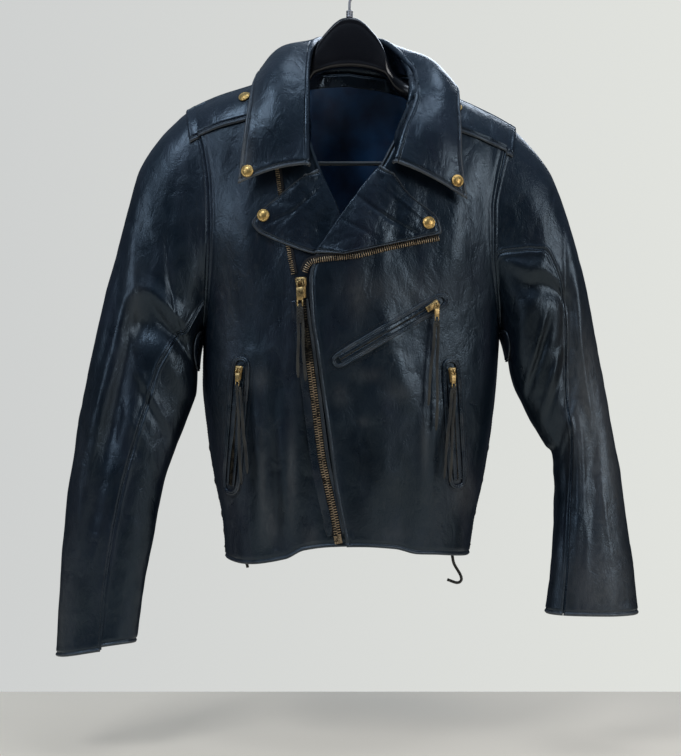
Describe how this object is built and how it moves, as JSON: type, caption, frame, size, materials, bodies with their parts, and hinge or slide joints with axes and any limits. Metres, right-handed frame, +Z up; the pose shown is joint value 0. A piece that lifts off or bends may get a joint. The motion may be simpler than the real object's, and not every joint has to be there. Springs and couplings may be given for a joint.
{
  "type": "biker jacket on a hanger",
  "caption": "Short black leather biker jacket with a slanted front zip, snap-down collar and lapels, shoulder straps and zip pockets, hanging on a moulded hanger.",
  "frame": {"origin": "inner top of the hanger hook's crown, where a rail would lie", "axes": "+Z up, the jacket's front faces -Y, +X to the right of someone who looks at the front"},
  "size_m": [0.7039, 0.1885, 0.8641],
  "materials": {
    "jacket_leather": "semi-gloss, finely grained",
    "edge_leather": "semi-gloss, finely grained, worn at the rims",
    "lining": "satin",
    "snap_brass": "polished, pitted",
    "zip_teeth": "aged",
    "zip_brass": "polished, worn",
    "zip_tape": "woven",
    "thong_leather": "suede",
    "lace_cord": "braided",
    "hanger_plastic": "glossy",
    "hook_steel": "dull"
  },
  "bodies": {
    "jacket_on_hanger": {"back": "jacket_leather", "back_lining": "lining", "chest_pocket_slider": "zip_brass", "chest_pocket_teeth": "zip_teeth", "chest_pocket_welt": "edge_leather", "collar": "edge_leather", "epaulet_left": "edge_leather", "epaulet_right": "edge_leather", "front_left": "jacket_leather", "front_right": "jacket_leather", "gusset_left": "jacket_leather", "gusset_right": "jacket_leather", "hanger": "hanger_plastic", "hanger_bar": "hanger_plastic", "hook": "hook_steel", "hook_ferrule": "hook_steel", "lace_end_left": "lace_cord", "lace_end_right": "lace_cord", "lace_left": "lace_cord", "lace_right": "lace_cord", "lapel_left": "edge_leather", "lapel_right": "edge_leather", "left_pocket_slider": "zip_brass", "left_pocket_teeth": "zip_teeth", "left_pocket_welt": "edge_leather", "left_tape_teeth": "zip_teeth", "main_slider": "zip_brass", "main_stop": "zip_brass", "main_tape": "zip_tape", "main_teeth": "zip_teeth", "neck_facing": "edge_leather", "right_pocket_slider": "zip_brass", "right_pocket_teeth": "zip_teeth", "right_pocket_welt": "edge_leather", "right_tape_teeth": "zip_teeth", "sleeve_top_left": "jacket_leather", "sleeve_top_right": "jacket_leather", "sleeve_under_left": "jacket_leather", "sleeve_under_right": "jacket_leather", "snap_collar_left": "snap_brass", "snap_collar_right": "snap_brass", "snap_epaulet_left": "snap_brass", "snap_epaulet_right": "snap_brass", "snap_lapel_left": "snap_brass", "snap_lapel_right": "snap_brass"},
    "main_pull": {"main_tab": "zip_brass", "main_thong_1": "thong_leather", "main_thong_2": "thong_leather"},
    "left_pocket_pull": {"left_pocket_tab": "zip_brass", "left_pocket_thong_1": "thong_leather", "left_pocket_thong_2": "thong_leather"},
    "right_pocket_pull": {"right_pocket_tab": "zip_brass", "right_pocket_thong_1": "thong_leather", "right_pocket_thong_2": "thong_leather"},
    "chest_pocket_pull": {"chest_pocket_tab": "zip_brass", "chest_pocket_thong_1": "thong_leather", "chest_pocket_thong_2": "thong_leather"}
  },
  "joints": [
    {"name": "main_pull_swing", "type": "hinge", "parent": "jacket_on_hanger", "child": "main_pull", "pos_m": [-0.05964, -0.09356, -0.40894], "axis": [0.9905, -0.1378, 0], "range_deg": [-150, 0]},
    {"name": "left_pocket_pull_swing", "type": "hinge", "parent": "jacket_on_hanger", "child": "left_pocket_pull", "pos_m": [-0.1359, -0.0716, -0.51284], "axis": [0.9044, -0.4267, 0], "range_deg": [-150, 0]},
    {"name": "right_pocket_pull_swing", "type": "hinge", "parent": "jacket_on_hanger", "child": "right_pocket_pull", "pos_m": [0.12478, -0.07658, -0.51504], "axis": [0.9312, 0.3646, 0], "range_deg": [-150, 0]},
    {"name": "chest_pocket_pull_swing", "type": "hinge", "parent": "jacket_on_hanger", "child": "chest_pocket_pull", "pos_m": [0.10391, -0.08534, -0.4351], "axis": [0.9652, 0.2613, 0], "range_deg": [-150, 0]}
  ]
}
